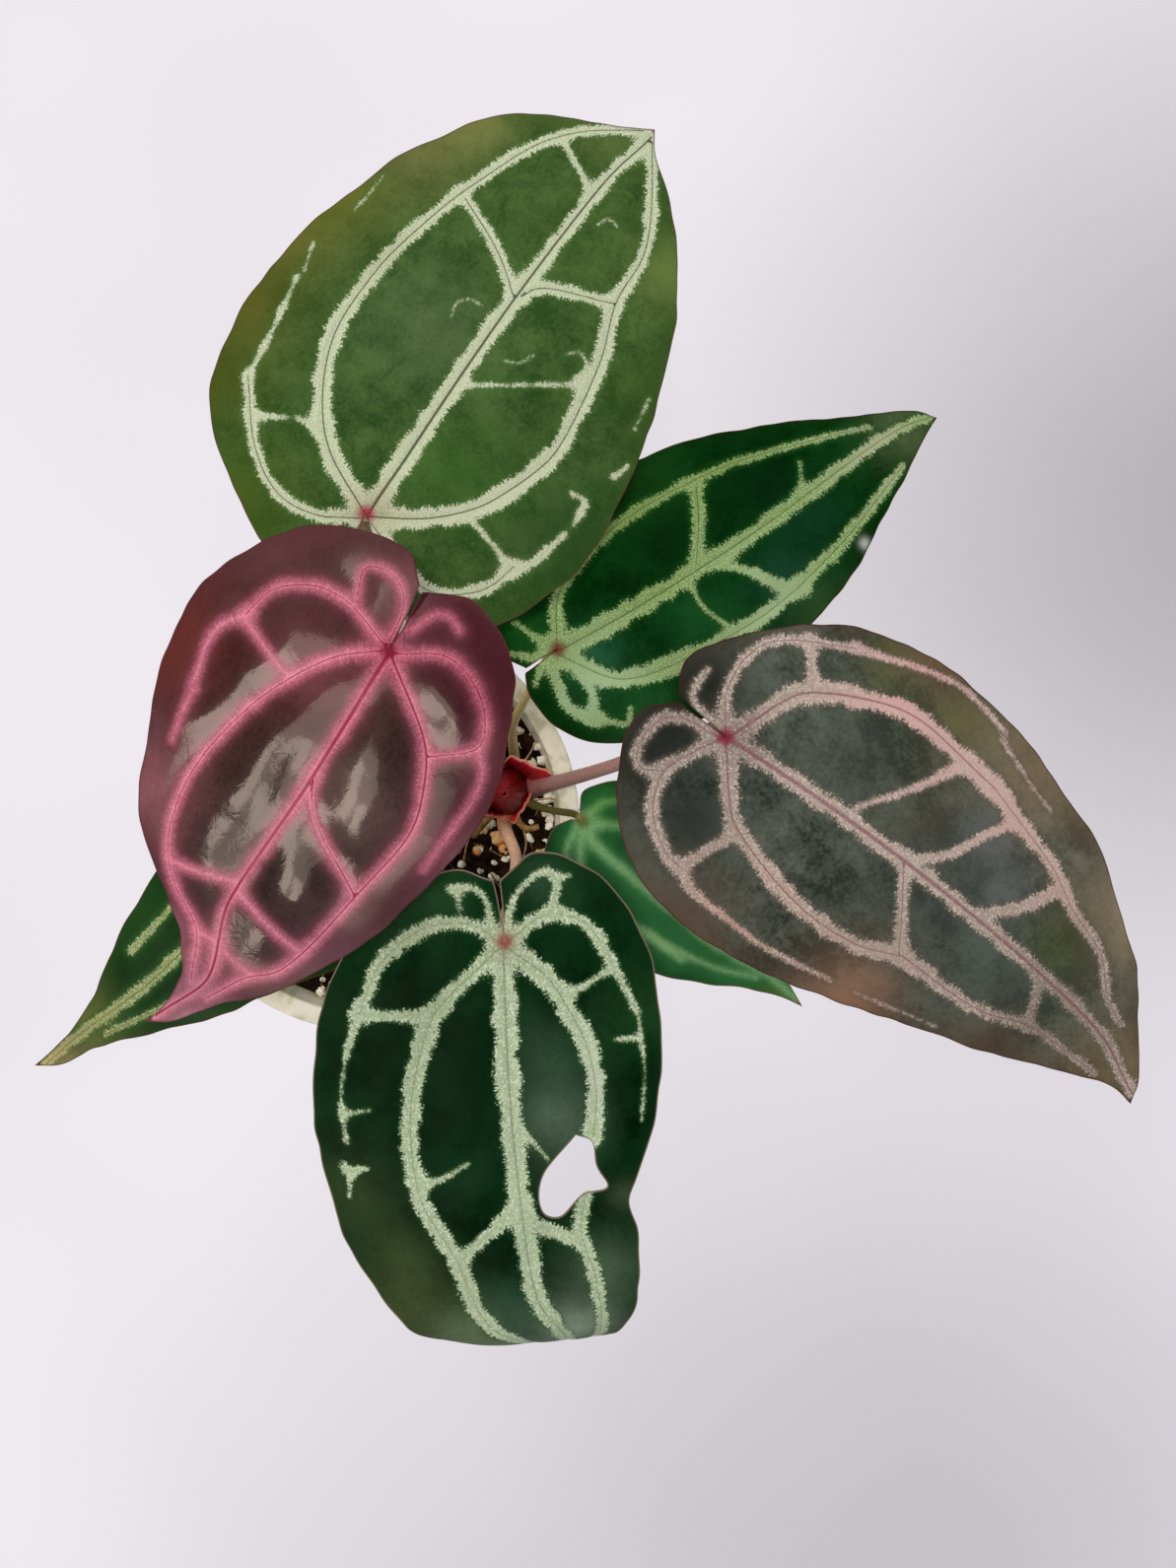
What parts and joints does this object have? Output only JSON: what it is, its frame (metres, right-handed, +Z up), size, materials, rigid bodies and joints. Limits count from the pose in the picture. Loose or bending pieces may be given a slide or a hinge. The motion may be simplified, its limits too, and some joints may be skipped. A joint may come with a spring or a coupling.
{
  "type": "potted anthurium",
  "caption": "Small velvet-leaf anthurium with pale-veined heart-shaped leaves on slender stalks, growing off-centre in a round tapered plastic nursery pot.",
  "frame": {"origin": "middle of the underside of the pot, on the surface that it stands on", "axes": "+Z up along the pot's axis; the leaves lie round the pot with the curled front leaf towards -Y and the bronze leaf towards +X"},
  "size_m": [0.2825, 0.3013, 0.1983],
  "materials": {
    "pot_plastic": "moulded cream-white plastic, slightly translucent",
    "potting_mix": "loose bark, coir and perlite",
    "stem": "corky with leaf scars",
    "sheath_red": "thin, waxy, red",
    "sheath_dry": "dry and papery",
    "stalk": "smooth, satin",
    "blade_top": "velvet with pale veins",
    "blade_right": "velvet with pale veins",
    "blade_pink": "glossy young leaf with pink veins",
    "blade_bronze": "velvet with pale veins",
    "blade_front": "velvet with pale veins",
    "blade_small": "velvet with pale veins",
    "blade_rear": "velvet with pale veins"
  },
  "bodies": {
    "root": {"pot": "pot_plastic", "potting_mix": "potting_mix", "stem": "stem", "sheath_wing": "sheath_red", "sheath_tongue": "sheath_red", "sheath_dry": "sheath_dry", "stalk_top": "stalk", "stalk_right": "stalk", "stalk_pink": "stalk", "stalk_bronze": "stalk", "stalk_front": "stalk", "stalk_small": "stalk", "stalk_rear": "stalk", "blade_top": "blade_top", "blade_right": "blade_right", "blade_pink": "blade_pink", "blade_bronze": "blade_bronze", "blade_front": "blade_front", "blade_small": "blade_small", "blade_rear": "blade_rear"}
  },
  "joints": []
}
